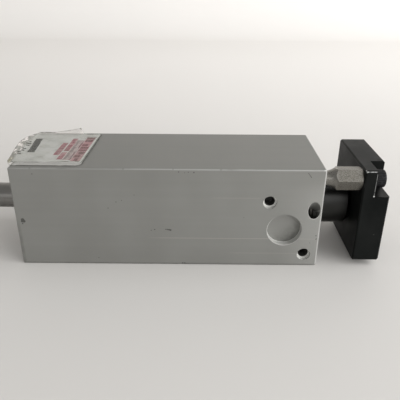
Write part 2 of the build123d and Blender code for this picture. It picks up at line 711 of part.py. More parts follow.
def label_film():
    """Clear film over the label; part of its back edge has come loose and curls up."""
    base_z = BLOCK_WIDTH + LABEL_THICKNESS + FILM_GAP
    flat = Pos(LABEL_X0, FILM_Y0, base_z) * Box(
        FILM_LENGTH, FILM_WIDTH, FILM_THICKNESS, align=(Align.MIN, Align.MIN, Align.MIN)
    )
    margin = 2 * FILM_CORNER_R
    flat = flat & plan_prism(LABEL_X0 - margin, FILM_Y0, FILM_LENGTH + margin, FILM_WIDTH, FILM_CORNER_R)
    flat -= Pos(LABEL_X0 - CUT, FLAP_START_Y, base_z - CUT) * Box(
        FLAP_WIDTH + CUT, FILM_WIDTH, 2 * CUT, align=(Align.MIN, Align.MIN, Align.MIN)
    )
    section = curled_sheet((0, 0), FLAP_FOOT, FILM_THICKNESS, FLAP_CURL_R, FLAP_TURN)
    flap = extrude(Rot(90, 0, 0) * section, FLAP_WIDTH, dir=(0, 1, 0))
    flap = Pos(LABEL_X0, FLAP_START_Y, base_z) * Rot(0, 0, -90) * flap
    return flat + flap


# ---- named parts that share a shape -------------------------------------------------------
def front_rod_seal():
    return cup_seal(FRONT_ROD_D, FRONT_GLAND_FACE, 1)


def rear_rod_seal():
    return cup_seal(TAIL_ROD_D, REAR_GLAND_FACE, -1)


def front_rod_wiper():
    return wiper(FRONT_ROD_D, FRONT_GLAND_FACE, 1)


def rear_rod_wiper():
    return wiper(TAIL_ROD_D, REAR_GLAND_FACE, -1)


def front_gland_o_ring():
    return gland_o_ring(FRONT_GLAND_FACE, 1)


def rear_gland_o_ring():
    return gland_o_ring(REAR_GLAND_FACE, -1)


def front_retaining_wire():
    return retaining_wire(FRONT_WIRE_X)


def rear_retaining_wire():
    return retaining_wire(REAR_WIRE_X)


def front_bumper():
    return bumper(FRONT_GLAND_INNER - BUMPER_THICKNESS, FRONT_ROD_D)


def rear_bumper():
    return bumper(REAR_GLAND_INNER, TAIL_ROD_D)


# ---- output -------------------------------------------------------------------------------
PARTS = (
    body_block,
    front_gland,
    rear_gland,
    front_rod_bushing,
    rear_rod_bushing,
    front_rod_seal,
    rear_rod_seal,
    front_rod_wiper,
    rear_rod_wiper,
    front_gland_o_ring,
    rear_gland_o_ring,
    front_retaining_wire,
    rear_retaining_wire,
    front_bumper,
    rear_bumper,
    guide_pin_bushings,
    label,
    label_film,
    front_rod,
    tail_rod,
    piston,
    piston_seals,
    piston_wear_ring,
    piston_static_ring,
    tool_plate,
    plate_screw,
    guide_pin,
    guide_pin_screw,
)

os.makedirs("parts", exist_ok=True)
for make in PARTS:
    shape = make()
    if isinstance(shape, list):
        shape = Compound(children=shape)
    export_step(shape, f"parts/{make.__name__}.step")
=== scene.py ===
import json
import math
import random

import bpy
from mathutils import Matrix, Vector


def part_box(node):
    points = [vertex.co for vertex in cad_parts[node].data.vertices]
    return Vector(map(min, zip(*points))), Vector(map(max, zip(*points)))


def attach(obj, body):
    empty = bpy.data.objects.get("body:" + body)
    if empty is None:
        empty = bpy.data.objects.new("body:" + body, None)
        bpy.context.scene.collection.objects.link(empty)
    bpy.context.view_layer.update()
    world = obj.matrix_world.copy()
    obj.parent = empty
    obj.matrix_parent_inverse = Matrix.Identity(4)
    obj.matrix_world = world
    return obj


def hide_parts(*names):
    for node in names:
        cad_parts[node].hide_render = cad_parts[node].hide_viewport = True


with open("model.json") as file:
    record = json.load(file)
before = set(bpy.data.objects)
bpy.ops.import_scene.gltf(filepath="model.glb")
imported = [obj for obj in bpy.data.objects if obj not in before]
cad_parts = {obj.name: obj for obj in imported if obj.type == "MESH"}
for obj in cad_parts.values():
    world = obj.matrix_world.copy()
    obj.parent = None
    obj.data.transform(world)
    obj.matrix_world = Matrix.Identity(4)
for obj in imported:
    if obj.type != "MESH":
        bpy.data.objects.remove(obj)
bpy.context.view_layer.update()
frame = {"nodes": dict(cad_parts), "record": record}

# ---- places and sizes ---------------------------------------------------------------------
# Metres, unless a name or a comment says millimetres.
MM = 0.001
MOUNTS = {mount["name"]: mount for mount in frame["record"]["mounts"]}
BLOCK_LOW, BLOCK_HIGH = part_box("body_block")
PLATE_LOW, PLATE_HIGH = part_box("tool_plate")
SCREW_LOW, SCREW_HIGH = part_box("guide_pin_screw")
LABEL_LOW, LABEL_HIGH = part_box("label")
FRONT_Y = BLOCK_LOW.y
TOP_Z = BLOCK_HIGH.z
REAR_X = BLOCK_LOW.x                # the end that the tail rod leaves
HEAD_X = BLOCK_HIGH.x               # the end next to the tool plate

# The camera was recovered from the block's edges: its place in the row frame, in millimetres,
# its tilt in degrees and its lens for a 36 mm sensor.
CAMERA_MM = (15.78, -228.3, 133.62)
CAMERA_PITCH = -25.817
CAMERA_YAW = 0.238
CAMERA_ROLL = 0.351
LENS = 43.816
SENSOR = 36.0

# The cap screw in the plate's notch, and the notch that its head bears on.
SCREW_HEAD_D = 0.0086
SCREW_HEAD_HEIGHT = 0.005
SCREW_SHANK_R = 0.0025
SCREW_KEY = 0.004                   # across the flats of the hexagon socket
SCREW_SOCKET_DEPTH = 0.0026
SCREW_RIDGES = 30                   # of the knurled head
NOTCH_FLOOR_X = SCREW_HIGH.x - SCREW_HEAD_HEIGHT
NOTCH_BOTTOM_Z = SCREW_LOW.z - 0.0026
RUB_X = NOTCH_FLOOR_X - 0.0004      # the bright line rubbed beside the notch's edge
PIN_HEX_X = 0.0783                  # where the guide pin's flare ends and its hexagon starts

# Holes in the front face. A spot face surrounds each tapped hole.
SPOT_R = 0.00325
SPOT_DEPTH = 0.002
TAPPED_R = MOUNTS["side_hole_upper"]["dims"]["r_mm"] * MM
SPOT_RING = SPOT_R - TAPPED_R
THREAD_PITCH = 0.001
THREAD_DEPTH = 0.00026
THREAD_SINK = 0.00002               # how far the ridge's feet lie inside the wall
UPPER_THREAD_END = 0.0069           # from the front face
LOWER_THREAD_END = 0.0118
RECESS_FLOOR_Y = FRONT_Y + MOUNTS["locating_recess"]["dims"]["length_mm"] * MM
HOLE_REACH = 0.013                  # a little more than the deepest of the tapped holes


def rim_of(mount, radius):
    """A round rim on the front face: its middle's X and Z, then half its width and half its height."""
    x, _, z = MOUNTS[mount]["pos_m"]
    return x, z, radius, radius


RECESS = rim_of("locating_recess", MOUNTS["locating_recess"]["dims"]["r_mm"] * MM)
UPPER_SPOT = rim_of("side_hole_upper", SPOT_R)
LOWER_SPOT = rim_of("side_hole_lower", SPOT_R)
WIRE_HOLE = (HEAD_X - 0.0038, 0.0304, 0.0029, 0.00442)      # slanting, so its rim is an ellipse

# Small marks in millimetres. Dents in the front face: x, z and radius.
FRONT_DENTS = (
    # near the rear end
    (-69.0, 24.3, 1.05), (-68.5, 23.6, 0.95), (-69.4, 23.5, 0.75), (-69.3, 22.3, 0.42),
    # about the middle
    (0.9, 19.4, 0.58), (0.2, 19.6, 0.50), (-0.6, 19.7, 0.42), (-1.3, 19.8, 0.34),
    (-6.6, 19.6, 0.38), (-8.3, 19.2, 0.30),
    # scattered
    (-15.5, 37.7, 0.24), (-24.1, 34.1, 0.30), (-28.0, 30.9, 0.30), (-21.5, 34.9, 0.24),
    (-61.2, 47.9, 0.30), (-34.6, 3.6, 0.28),
    (70.6, 16.9, 0.34), (70.8, 15.0, 0.34), (68.0, 12.9, 0.22),
    # under the top edge, and at the bottom edge
    (5.2, 49.4, 0.32), (7.9, 49.0, 0.22), (9.6, 49.3, 0.26), (12.1, 49.2, 0.38),
    (6.6, 0.9, 0.45), (7.6, 0.9, 0.40),
)
SCRATCH_RADII = (0.24, 0.24, 0.24, 0.25, 0.26, 0.26)        # of the dents that make a short scratch
SHORT_SCRATCH = tuple((63.8 + 0.3 * i, 49.2 - 0.4 * i, radius) for i, radius in enumerate(SCRATCH_RADII))
EDGE_NICKS = ((-62.0, 0.6), (-19.8, 0.6), (2.7, 0.5), (24.3, 0.7))      # x and radius, in the top front edge
NICK_Y_MM, NICK_Z_MM = -25.2, 50.6
PLATE_SCAR = (95.2, -24.9, 37.7, 0.42)      # x, y, z and radius: the bright end of the rubbed line
PLATE_SPECK = (98.3, -24.9, 17.5, 0.22)

# Lines along the front face: height, then from and to along X.
SCRIBE_Z = 0.01505
SCRIBE_X = -0.012
SCRIBE_FADE = 0.012
FAINT_SCRATCHES = ((0.03655, 0.024, 0.040), (0.0069, 0.033, 0.061))

# The label and its film, which were stuck on a little crooked.
SKEW = 0.028                        # drift along X for each metre along Y
LABEL_RIGHT = REAR_X + 0.0324
LABEL_SEAT = 0.00014                # the label's underside above the block
LABEL_THICKNESS = 0.00009
LABEL_CORNER = 0.002
FILM_RIGHT = REAR_X + 0.0335
FILM_FRONT = FRONT_Y + 0.0025
FILM_BACK = FRONT_Y + 0.0484
FILM_SEAT = 0.00013                 # the film's underside above the label's
FILM_DROP = 0.00016                 # the film comes down to the block past the label's front edge
FILM_THICKNESS = 0.00005
FILM_CORNER = 0.003
FLAP_LENGTH = 0.0240                # from just past the block's end to the lifted corner
FLAP_WIDTH = 0.0060
FLAP_RISE = 0.0031                  # of the lifted corner above the sheet
FLAP_ROOT_RISE = 0.0008             # the film is creased up from its rear corner on
FLAP_ROOT_END = 0.06                # shares of its length: where that crease is fully up,
FLAP_CLOSE = 1.06                   # and where the flap is down again
FRONT_CORNER = 0.0046               # the free edge's front corner tapers off over this depth
PATCH_STEP = 0.7                    # millimetres between the points of a printed patch
TINT_LIFT = 0.000100                # prints above the label's underside, so just over its top
INK_LIFT = 0.000110
BACK_LINE_LIFT = 0.00016            # dirt lines above the label's underside, at its back edge
FRONT_LINE_LIFT = 0.00021           # and over its front edge
FILM_LINE_LIFT = 0.00008            # dirt lines above the film's underside, so just over its top


# ---- shader building ----------------------------------------------------------------------
class Surface:
    """One material's node tree, with short calls for the nodes that the finishes share."""

    def __init__(self, name, metallic=0.0, roughness=0.5):
        self.material = bpy.data.materials.new(name)
        self.material.use_nodes = True
        self.tree = self.material.node_tree
        self.shader = self.tree.nodes["Principled BSDF"]
        self.shader.inputs["Metallic"].default_value = metallic
        self.shader.inputs["Roughness"].default_value = roughness
        self.place = self.node("ShaderNodeTexCoord").outputs["Object"]

    def node(self, kind, **settings):
        made = self.tree.nodes.new(kind)
        for key, value in settings.items():
            setattr(made, key, value)
        return made

    def feed(self, socket, value):
        if isinstance(value, bpy.types.NodeSocket):
            self.tree.links.new(value, socket)
        else:
            socket.default_value = value

    def set(self, name, value):
        self.feed(self.shader.inputs[name], value)

    def noise(self, scale, detail=2.0, roughness=0.5):
        """Noise over the row frame; scale is per metre, one number or one for each axis."""
        x, y, z = scale if isinstance(scale, tuple) else (scale, scale, scale)
        made = self.node("ShaderNodeTexNoise")
        self.feed(made.inputs["Vector"], self.stretched(x, y, z))
        made.inputs["Scale"].default_value = 1.0
        made.inputs["Detail"].default_value = detail
        made.inputs["Roughness"].default_value = roughness
        return made.outputs["Fac"]

    def stretched(self, x, y, z):
        """Object coordinates in metres, multiplied along each axis."""
        mapping = self.node("ShaderNodeMapping")
        self.feed(mapping.inputs["Vector"], self.place)
        mapping.inputs["Scale"].default_value = (x, y, z)
        return mapping.outputs["Vector"]

    def cells(self, scale):
        """Distance from the nearest of many scattered points, scale of them to a metre."""
        made = self.node("ShaderNodeTexVoronoi", feature="F1")
        self.feed(made.inputs["Vector"], self.stretched(scale, scale, scale))
        made.inputs["Scale"].default_value = 1.0
        return made.outputs["Distance"]

    def maths(self, operation, a, b=0.0, c=0.0):
        made = self.node("ShaderNodeMath", operation=operation)
        for socket, value in zip(made.inputs, (a, b, c)):
            self.feed(socket, value)
        return made.outputs[0]

    def times(self, first, *others):
        for other in others:
            first = self.maths("MULTIPLY", first, other)
        return first

    def plus(self, a, b):
        return self.maths("ADD", a, b)

    def minus(self, a, b):
        return self.maths("SUBTRACT", a, b)

    def more(self, a, b):
        return self.maths("MAXIMUM", a, b)

    def scaled_plus(self, a, b, c):
        """a times b, plus c."""
        return self.maths("MULTIPLY_ADD", a, b, c)

    def axes(self):
        made = self.node("ShaderNodeSeparateXYZ")
        self.feed(made.inputs[0], self.place)
        return made.outputs

    def band(self, value, low, high, out_low=0.0, out_high=1.0):
        """Smooth step: out_low below low, out_high above high."""
        made = self.node("ShaderNodeMapRange", interpolation_type="SMOOTHSTEP")
        names = ("Value", "From Min", "From Max", "To Min", "To Max")
        for name, number in zip(names, (value, low, high, out_low, out_high)):
            self.feed(made.inputs[name], number)
        return made.outputs["Result"]

    def near(self, value, centre, half, soft):
        """1 where value is within half of centre, fading out over soft."""
        away = self.maths("ABSOLUTE", self.minus(value, centre))
        return self.band(away, half, half + soft, 1.0, 0.0)

    def blend(self, factor, a, b):
        made = self.node("ShaderNodeMix", data_type="RGBA")
        self.feed(made.inputs["Factor"], factor)
        self.feed(made.inputs["A"], a if isinstance(a, bpy.types.NodeSocket) else (*a, 1.0))
        self.feed(made.inputs["B"], b if isinstance(b, bpy.types.NodeSocket) else (*b, 1.0))
        return made.outputs["Result"]

    def set_bump(self, height, distance, strength):
        made = self.node("ShaderNodeBump")
        self.feed(made.inputs["Height"], height)
        made.inputs["Distance"].default_value = distance
        made.inputs["Strength"].default_value = strength
        self.set("Normal", made.outputs["Normal"])


def dabs(s, marks):
    """1 inside any of the marks, given as (x, y, z, radius) in millimetres, 0 outside."""
    total = 0.0
    for x, y, z, radius in marks:
        gap = s.node("ShaderNodeVectorMath", operation="DISTANCE")
        s.feed(gap.inputs[0], s.place)
        gap.inputs[1].default_value = (x * MM, y * MM, z * MM)
        inside = s.band(gap.outputs["Value"], 0.6 * radius * MM, radius * MM, 1.0, 0.0)
        total = s.more(total, inside)
    return total


def edge_nearness(s, low, high, reach):
    """1 on the edges of the box from low to high, 0 further than reach from them."""
    gaps = []
    for value, a, b in zip(s.axes(), low, high):
        centre, half = (a + b) / 2, (b - a) / 2
        gaps.append(s.minus(half, s.maths("ABSOLUTE", s.minus(value, centre))))
    small = s.maths("MINIMUM", gaps[0], gaps[1])
    large = s.more(gaps[0], gaps[1])
    middle = s.more(small, s.maths("MINIMUM", large, gaps[2]))
    return s.band(middle, 0.0, reach, 1.0, 0.0)


# ---- the block's finish -------------------------------------------------------------------
def from_rim(s, rim):
    """A point's place across and up, in half widths and half heights of a rim, from its middle."""
    middle_x, middle_z, half_x, half_z = rim
    x, _, z = s.axes()
    across = s.maths("DIVIDE", s.minus(x, middle_x), half_x)
    up = s.maths("DIVIDE", s.minus(z, middle_z), half_z)
    return across, up


def rim_offset(s, rim):
    """How far outside a rim's outline a point of the front face lies; negative inside."""
    across, up = from_rim(s, rim)
    squares = s.scaled_plus(across, across, s.times(up, up))
    mean_radius = (rim[2] + rim[3]) / 2
    return s.times(s.minus(s.maths("SQRT", squares), 1.0), mean_radius)


def bare_metal_and_highlight(s):
    """Mask of freshly cut metal and painted light: spot faces and their walls; the walls of the other two
    holes, painted light against their shade; and a painted highlight on the lower left of their rims.
    """
    y = s.axes()[1]
    behind_face = s.band(y, FRONT_Y + 0.0001, FRONT_Y + 0.0002)
    bare_and_highlight = 0.0
    for rim in (UPPER_SPOT, LOWER_SPOT):
        ring = s.near(rim_offset(s, rim), -SPOT_RING / 2, SPOT_RING / 2, 0.0001)
        bare_and_highlight = s.more(bare_and_highlight, s.times(ring, behind_face))
    for rim in (RECESS, WIRE_HOLE):
        offset = rim_offset(s, rim)
        # Painted highlight: only the lower left of the recess's and the wire hole's rims, where the light
        # falls.
        painted_lower_left = s.band(s.plus(*from_rim(s, rim)), -0.9, 0.5, 1.0, 0.0)
        ring = s.times(s.near(offset, 0.00002, 0.00011, 0.00007), painted_lower_left)
        # The walls of these two holes are painted lighter against the shade that falls in them.
        wall = s.times(s.near(offset, 0.0, 0.0001, 0.0001), behind_face, 0.85)
        bare_and_highlight = s.more(bare_and_highlight, s.more(ring, wall))
    return s.times(bare_and_highlight, front_half(s))


def painted_hole_shade(s):
    """Mask of painted shade inside the tapped holes."""
    y = s.axes()[1]
    spot_floor = FRONT_Y + SPOT_DEPTH
    below_spot = s.band(y, spot_floor + 0.0001, spot_floor + 0.0003)
    inside = 0.0
    for rim in (UPPER_SPOT, LOWER_SPOT):
        offset = rim_offset(s, rim)
        hole = s.band(offset, -SPOT_RING - 0.0002, -SPOT_RING - 0.00002, 1.0, 0.0)
        deep = s.times(s.band(offset, -0.0005, 0.0, 1.0, 0.0), below_spot)
        inside = s.more(inside, s.more(hole, deep))
    return s.times(inside, front_half(s))


def front_half(s):
    """Mask that keeps the marks of the front face's holes off the back face."""
    limit = FRONT_Y + HOLE_REACH
    return s.band(s.axes()[1], limit, limit + 0.001, 1.0, 0.0)


def edge_shade_and_grime(s):
    """Painted shade along the front face's bottom edge, and darker down the lower part of its rear edge,
    broken up.
    """
    x, y, z = s.axes()
    bottom = s.band(z, 0.0004, 0.0011, 1.0, 0.0)
    rear = s.times(s.near(x, REAR_X + 0.0010, 0.0004, 0.0006), s.band(z, 0.019, 0.026, 0.6, 0.0))
    breaks = s.band(s.noise(120, detail=3), 0.30, 0.50, 0.45, 1.0)
    return s.times(s.more(bottom, rear), breaks, s.near(y, FRONT_Y, 0.0007, 0.0003))


def recess_shade_and_dirt(s):
    """Painted shade, with some dirt, on the recess's floor, darker towards its lower right."""
    across, up = from_rim(s, RECESS)
    within = s.band(rim_offset(s, RECESS), -0.0002, 0.0, 1.0, 0.0)
    floor = s.times(s.near(s.axes()[1], RECESS_FLOOR_Y, 0.0002, 0.0002), within)
    lower_right = s.scaled_plus(across, 0.6, s.times(up, -0.8))
    clumps = s.band(s.noise(330, detail=4, roughness=0.6), 0.36, 0.66)
    return s.times(s.band(lower_right, -0.2, 0.95), s.scaled_plus(clumps, 0.5, 0.5), floor)


def block_lines(s, colour):
    """The scribed line and the faint scratches that run along the front face."""
    scratched = (0.42, 0.40, 0.36)
    x, y, z = s.axes()
    on_face = s.near(y, FRONT_Y, 0.0001, 0.0002)
    along = s.band(x, SCRIBE_X, SCRIBE_X + SCRIBE_FADE)
    scribe = s.times(s.near(z, SCRIBE_Z, 0.00009, 0.00014), along, on_face)
    colour = s.blend(s.times(scribe, 0.45), colour, scratched)
    for height, low, high in FAINT_SCRATCHES:
        along = s.near(x, (low + high) / 2, (high - low) / 2, 0.006)
        scratch = s.times(s.near(z, height, 0.00010, 0.00020), along, on_face)
        colour = s.blend(s.times(scratch, 0.18), colour, scratched)
    return colour


def painted_block_light(s, colour):
    """Painted light: the front face is painted lighter at its top near the plate, a painted highlight, and
    the top face darker, a painted shade.
    """
    x, y, z = s.axes()
    highlight_near_plate = s.times(s.band(x, 0.050, 0.072), s.band(z, 0.036, 0.048, 1.0, 0.0))
    highlight_near_plate = s.times(highlight_near_plate, s.near(y, FRONT_Y, 0.0003, 0.0003))
    # Painted highlight on the front face near the plate.
    colour = s.blend(s.times(highlight_near_plate, 0.55), colour, (0.345, 0.345, 0.33))
    shade_on_top = s.band(z, TOP_Z - 0.0003, TOP_Z - 0.0001)
    # Painted shade on the top face.
    return s.blend(s.times(shade_on_top, 0.30), colour, (0.125, 0.128, 0.120))


def block_edges(s, colour):
    """Edges worn bright, less so at the rear, with a painted highlight on the edges around the end at the
    plate.
    """
    x = s.axes()[0]
    broken = s.band(s.noise((90, 260, 260), detail=3), 0.26, 0.50)
    less_at_rear = s.band(x, -0.035, -0.010, 0.5, 1.0)
    wear = s.times(edge_nearness(s, BLOCK_LOW, BLOCK_HIGH, 0.0008), broken, less_at_rear)
    colour = s.blend(s.times(wear, 0.60), colour, (0.50, 0.50, 0.485))
    # Painted highlight on the edges around the end at the plate.
    at_end = s.band(x, HEAD_X - 0.0016, HEAD_X - 0.0010)
    end_edge_highlight = s.times(edge_nearness(s, BLOCK_LOW, BLOCK_HIGH, 0.0009), at_end)
    return s.blend(s.times(end_edge_highlight, 0.85), colour, (0.70, 0.70, 0.68))


def block_finish():
    """Clear anodised extrusion: faint lines along its length, mottling, specks, dents, worn edges, with
    painted highlights and painted shade.
    """
    s = Surface("block_anodised", metallic=0.55, roughness=0.5)
    lines = s.noise((14, 5200, 5200), detail=3, roughness=0.6)
    wide_lines = s.noise((4, 330, 330))
    mottle = s.noise((34, 34, 22), detail=4, roughness=0.55)
    grain = s.noise(3600)
    tone = s.scaled_plus(mottle, 0.12, s.times(wide_lines, 0.03))
    tone = s.scaled_plus(lines, 0.02, tone)
    tone = s.scaled_plus(grain, 0.02, tone)
    colour = s.blend(s.band(tone, 0.05, 0.15), (0.218, 0.217, 0.204), (0.252, 0.254, 0.240))
    colour = block_lines(s, colour)
    # Painted highlight near the plate and painted shade on the top face.
    colour = painted_block_light(s, colour)
    # Worn edges, and a painted highlight on the edges at the end by the plate.
    colour = block_edges(s, colour)
    # Colour of the painted shade along the block's bottom edge and on the recess's floor.
    grime_and_shade = (0.075, 0.075, 0.066)
    # Painted shade along the front face's bottom edge, and darker down its rear edge.
    colour = s.blend(s.times(edge_shade_and_grime(s), 0.55), colour, grime_and_shade)
    # Painted shade, with some dirt, on the recess's floor towards its lower right.
    colour = s.blend(s.times(recess_shade_and_dirt(s), 0.60), colour, grime_and_shade)
    # Bare cut metal, with painted highlight on the rims and walls of the recess and the wire hole.
    colour = s.blend(bare_metal_and_highlight(s), colour, (0.62, 0.62, 0.60))
    # Painted shade inside the tapped holes.
    colour = s.blend(s.times(painted_hole_shade(s), 0.85), colour, (0.030, 0.030, 0.027))
    nicks = dabs(s, [(x, NICK_Y_MM, NICK_Z_MM, radius) for x, radius in EDGE_NICKS])
    colour = s.blend(s.times(nicks, 0.4), colour, (0.14, 0.14, 0.13))
    speck_zone = s.band(s.noise(95, detail=1), 0.62, 0.68)
    specks = s.times(s.band(s.cells(210), 0.035, 0.06, 1.0, 0.0), speck_zone, 0.6)
    dents = dabs(s, [(x, FRONT_Y / MM, z, radius) for x, z, radius in FRONT_DENTS + SHORT_SCRATCH])
    marks = s.more(specks, dents)
    colour = s.blend(s.times(marks, 0.85), colour, (0.055, 0.055, 0.05))
    s.set("Base Color", colour)
    s.set("Roughness", s.band(s.plus(mottle, s.times(grain, 0.4)), 0.3, 1.1, 0.44, 0.56))
    height = s.minus(s.scaled_plus(lines, 0.3, s.times(grain, 0.5)), s.times(marks, 2.0))
    s.set_bump(height, 0.00003, 0.3)
    return s.material


# ---- other finishes -----------------------------------------------------------------------
def turned_metal(name, colour, roughness, metallic=1.0):
    """Metal turned or ground about X: fine rings, with a little tone variation."""
    s = Surface(name, metallic=metallic, roughness=roughness)
    rings = s.noise((9000, 300, 300))
    smear = s.noise((60, 900, 900), detail=3)
    tone = s.scaled_plus(rings, 0.5, s.times(smear, 0.5))
    dark = tuple(0.88 * c for c in colour)
    light = tuple(1.12 * c for c in colour)
    s.set("Base Color", s.blend(s.band(tone, 0.3, 0.7), dark, light))
    s.set("Roughness", s.band(smear, 0.3, 0.7, roughness * 0.85, roughness * 1.2))
    s.set_bump(rings, 0.00001, 0.25)
    return s.material


def dark_rod_finish():
    """Black hard-coated rod: fine ground rings and a satin gloss."""
    s = Surface("rod_black_coated", metallic=1.0, roughness=0.30)
    smear = s.noise(160, detail=3)
    s.set("Base Color", s.blend(s.band(smear, 0.3, 0.7), (0.033, 0.033, 0.032), (0.038, 0.038, 0.037)))
    s.set("Roughness", s.band(smear, 0.3, 0.7, 0.31, 0.35))
    s.set_bump(s.noise((9000, 300, 300)), 0.00001, 0.25)
    return s.material


def notch_rub(s):
    """Mask of the metal rubbed bright along the plate's top front edge and down beside the notch."""
    x, y, z = s.axes()
    on_edge = s.band(edge_nearness(s, PLATE_LOW, PLATE_HIGH, 0.0009), 0.10, 0.45)
    beside_notch = s.near(x, RUB_X - 0.0024, 0.0023, 0.0005)
    at_top = s.band(z, PLATE_HIGH.z - 0.0012, PLATE_HIGH.z - 0.0006)
    at_front = s.band(y, PLATE_LOW.y + 0.0016, PLATE_LOW.y + 0.0022, 1.0, 0.0)
    top_rub = s.times(on_edge, beside_notch, at_top, at_front)
    side_rub = s.times(s.near(x, RUB_X, 0.00006, 0.00012), s.near(y, PLATE_LOW.y, 0.0003, 0.0003))
    side_rub = s.times(side_rub, 0.30, s.band(z, NOTCH_BOTTOM_Z - 0.0004, NOTCH_BOTTOM_Z + 0.0001))
    broken = s.band(s.noise(520), 0.34, 0.50)
    return s.more(s.times(s.more(top_rub, side_rub), broken), dabs(s, (PLATE_SCAR,)))


def plate_finish():
    """Black anodised plate, satin, rubbed bright along the notch's edges."""
    s = Surface("plate_black_anodised", roughness=0.40)
    s.shader.inputs["Specular IOR Level"].default_value = 0.07
    mottle = s.noise(70, detail=4)
    colour = s.blend(s.band(mottle, 0.35, 0.7), (0.0038, 0.0046, 0.0044), (0.0075, 0.0084, 0.0080))
    worn = s.band(s.noise(240, detail=3), 0.52, 0.72)
    wear = s.times(edge_nearness(s, PLATE_LOW, PLATE_HIGH, 0.0007), worn, 0.30)
    colour = s.blend(wear, colour, (0.10, 0.10, 0.098))
    rub = notch_rub(s)
    colour = s.blend(rub, colour, (0.62, 0.63, 0.62))
    colour = s.blend(s.times(dabs(s, (PLATE_SPECK,)), 0.5), colour, (0.14, 0.14, 0.13))
    s.set("Base Color", colour)
    s.set("Metallic", s.times(rub, 0.6))
    s.set("Roughness", s.band(mottle, 0.3, 0.7, 0.34, 0.46))
    upright_lines = s.noise((1500, 1500, 60))
    s.set_bump(s.scaled_plus(upright_lines, 0.4, s.noise(3200)), 0.00002, 0.3)
    return s.material


def pin_finish():
    """Dulled stainless, speckled on the hexagon and brighter on the turned flare."""
    s = Surface("pin_stainless", metallic=1.0, roughness=0.36)
    blotch = s.noise(330, detail=3)
    pits = s.noise(2300, roughness=0.7)
    hexagon = s.band(s.axes()[0], PIN_HEX_X - 0.001, PIN_HEX_X + 0.0006)
    colour = s.blend(s.band(pits, 0.36, 0.60), (0.105, 0.100, 0.087), (0.205, 0.197, 0.177))
    colour = s.blend(s.band(blotch, 0.42, 0.62, 0.0, 0.4), colour, (0.15, 0.14, 0.12))
    s.set("Base Color", s.blend(hexagon, (0.215, 0.208, 0.190), colour))
    duller = s.band(hexagon, 0.0, 1.0, 0.30, 0.34)
    s.set("Roughness", s.plus(duller, s.band(pits, 0.35, 0.65, 0.06, -0.04)))
    s.set_bump(s.times(pits, hexagon), 0.00004, 0.4)
    return s.material


def rubber_finish(name, colour, roughness=0.55):
    """Rubber or plastic with a fine grain."""
    s = Surface(name, roughness=roughness)
    grain = s.noise(2200, detail=3)
    dark = tuple(0.75 * c for c in colour)
    s.set("Base Color", s.blend(s.band(grain, 0.35, 0.65), dark, colour))
    s.set_bump(grain, 0.00002, 0.4)
    return s.material


def screw_finish():
    """Black oxide steel, slightly rubbed."""
    s = Surface("screw_black_oxide", metallic=0.75, roughness=0.42)
    rubbed = s.noise(900, detail=3)
    s.set("Base Color", s.blend(s.band(rubbed, 0.5, 0.75), (0.009, 0.009, 0.010), (0.030, 0.030, 0.031)))
    s.set("Roughness", s.band(rubbed, 0.3, 0.7, 0.36, 0.50))
    s.set_bump(rubbed, 0.00002, 0.4)
    return s.material


def bronze_finish():
    """Porous sintered bronze."""
    s = Surface("bushing_bronze", metallic=1.0, roughness=0.45)
    pores = s.noise(1800, detail=3)
    s.set("Base Color", s.blend(s.band(pores, 0.4, 0.6), (0.34, 0.20, 0.09), (0.60, 0.40, 0.20)))
    s.set_bump(pores, 0.00002, 0.4)
    return s.material


def label_finish():
    """Silver-white label stock with patches of dirt."""
    s = Surface("label_stock", metallic=0.15, roughness=0.5)
    dirt = s.noise(160, detail=4, roughness=0.6)
    dirty = s.band(dirt, 0.45, 0.72, 0.0, 0.6)
    s.set("Base Color", s.blend(dirty, (0.46, 0.465, 0.445), (0.36, 0.36, 0.32)))
    s.set_bump(s.noise(420), 0.00003, 0.25)
    return s.material


def film_finish():
    """Clear film, smudged and a little yellow; painted with light and dark reflections where it curls past
    the block's end.
    """
    s = Surface("label_clear_film", roughness=0.16)
    s.shader.inputs["IOR"].default_value = 1.45
    x, y, z = s.axes()
    smudge = s.noise(130, detail=4, roughness=0.6)
    curl_reflections = s.band(s.noise((420, 260, 420), detail=3, roughness=0.6), 0.44, 0.58)
    # The flap, the curled end, the curl's front tip, and the front margin beside the label,
    # which is backed and as white as the label.
    at_back = s.band(y, FILM_BACK - 0.0050, FILM_BACK - 0.0025)
    flap = s.times(s.band(z, TOP_Z + 0.0003, TOP_Z + 0.0012), at_back)
    curl = s.band(x, REAR_X - 0.0016, REAR_X + 0.0002, 1.0, 0.0)
    tip = s.times(curl, s.band(y, FRONT_Y + 0.008, FRONT_Y + 0.015, 1.0, 0.0))
    before_label = s.band(y, LABEL_LOW.y, LABEL_LOW.y + 0.0003, 1.0, 0.0)
    margin = s.times(before_label, s.band(x, REAR_X, REAR_X + 0.002))
    colour = s.blend(s.band(smudge, 0.4, 0.7), (0.46, 0.47, 0.43), (0.34, 0.34, 0.28))
    colour = s.blend(flap, colour, (0.50, 0.47, 0.44))
    # Painted reflections on the curled end: noise between dark and near white.
    colour = s.blend(curl, colour, s.blend(curl_reflections, (0.17, 0.165, 0.13), (0.82, 0.78, 0.75)))
    colour = s.blend(tip, colour, (0.33, 0.32, 0.23))
    s.set("Base Color", s.blend(margin, colour, (0.37, 0.37, 0.35)))
    alpha = s.more(s.band(smudge, 0.35, 0.70, 0.03, 0.13), s.times(margin, 0.82))
    alpha = s.plus(alpha, s.times(flap, 0.14))
    alpha = s.plus(alpha, s.times(curl, s.band(curl_reflections, 0.0, 1.0, 0.14, 0.58)))
    s.set("Alpha", s.plus(alpha, s.times(tip, 0.25)))
    s.set("Roughness", s.band(smudge, 0.3, 0.7, 0.12, 0.30))
    return s.material


